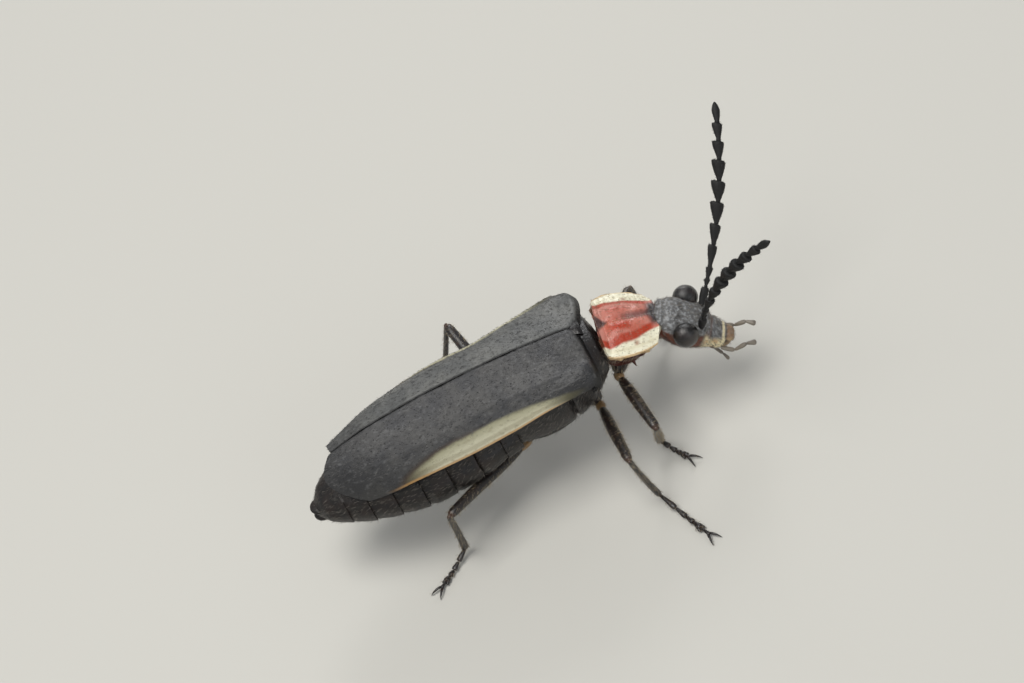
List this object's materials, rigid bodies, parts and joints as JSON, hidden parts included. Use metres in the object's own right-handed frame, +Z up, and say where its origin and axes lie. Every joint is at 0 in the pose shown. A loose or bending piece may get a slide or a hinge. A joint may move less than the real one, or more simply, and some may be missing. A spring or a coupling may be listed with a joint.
{
  "type": "soldier beetle",
  "caption": "Life-size still model of a standing soldier beetle: flat wing cases, red shield behind the head, jointed legs and beaded antennae",
  "frame": {"origin": "middle of the base: the centre of the model's box at the height of the floor", "axes": "+X towards the head, +Y to the beetle's left, +Z up"},
  "size_m": [0.0196, 0.0136, 0.0095],
  "materials": {
    "wing_case": "charcoal, finely wrinkled, with a cream side stripe",
    "shell": "dark brown-black, semi-gloss",
    "belly": "dark brown-black, satin",
    "shield": "brick red with cream side margins, satin",
    "head": "grey-black above, orange-brown cheeks, cream face",
    "eye": "black-brown, glossy",
    "antenna": "matte black",
    "mouth": "amber brown, satin",
    "leg": "dark brown-black, glossy"
  },
  "bodies": {
    "root": {"wing_case_right": "wing_case", "wing_case_left": "wing_case", "scutellum": "shell", "thorax": "shell", "abdomen": "belly", "prothorax": "shield", "head": "head", "eye_right": "eye", "eye_left": "eye", "antenna_right": "antenna", "antenna_left": "antenna", "maxillary_palp_right": "mouth", "maxillary_palp_left": "mouth", "lower_lip": "mouth", "leg_front_right": "leg", "leg_front_left": "leg", "leg_middle_right": "leg", "leg_middle_left": "leg", "leg_hind_right": "leg", "leg_hind_left": "leg"}
  },
  "joints": []
}
